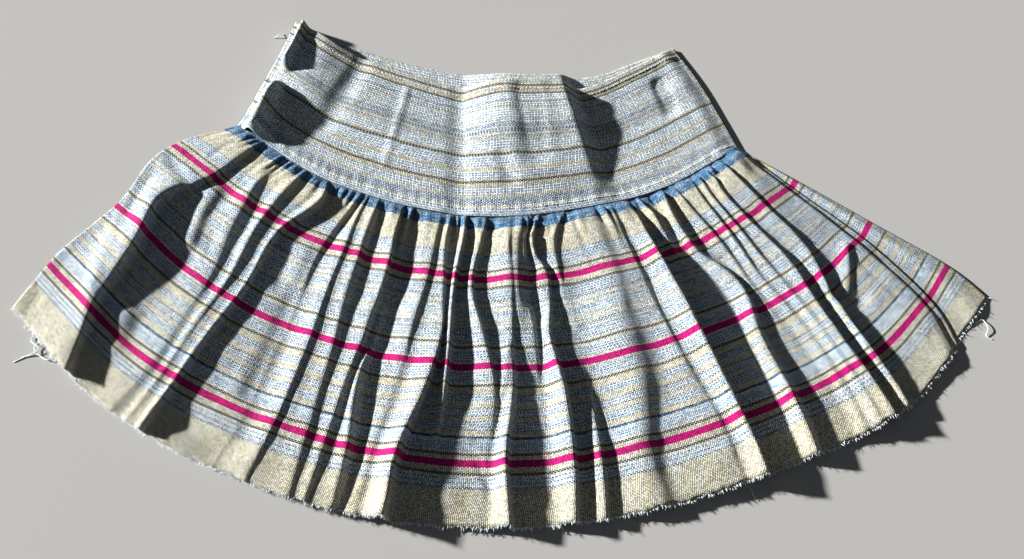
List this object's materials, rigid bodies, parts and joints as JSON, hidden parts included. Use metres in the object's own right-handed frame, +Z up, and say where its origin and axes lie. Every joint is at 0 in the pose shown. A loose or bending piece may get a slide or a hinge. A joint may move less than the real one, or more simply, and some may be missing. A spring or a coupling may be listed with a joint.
{
  "type": "linen skirt",
  "caption": "Short linen skirt laid flat: a shaped hip yoke with a wide gathered flounce, woven in blue, cream and pink stripes, with a raw frayed hem.",
  "frame": {"origin": "middle of the laid skirt's outline, on the surface it lies on", "axes": "+X to the right as the front is seen with the waist at the top, +Y from the hem to the waist, +Z up out of the front"},
  "size_m": [0.8223, 0.471, 0.0243],
  "materials": {
    "yoke_linen": "matte plain weave, pale blue and cream stripes",
    "flounce_linen": "matte plain weave, blue, cream and pink stripes"
  },
  "bodies": {
    "root": {"yoke_front": "yoke_linen", "yoke_back": "yoke_linen", "flounce_front": "flounce_linen", "flounce_back": "flounce_linen"}
  },
  "joints": []
}
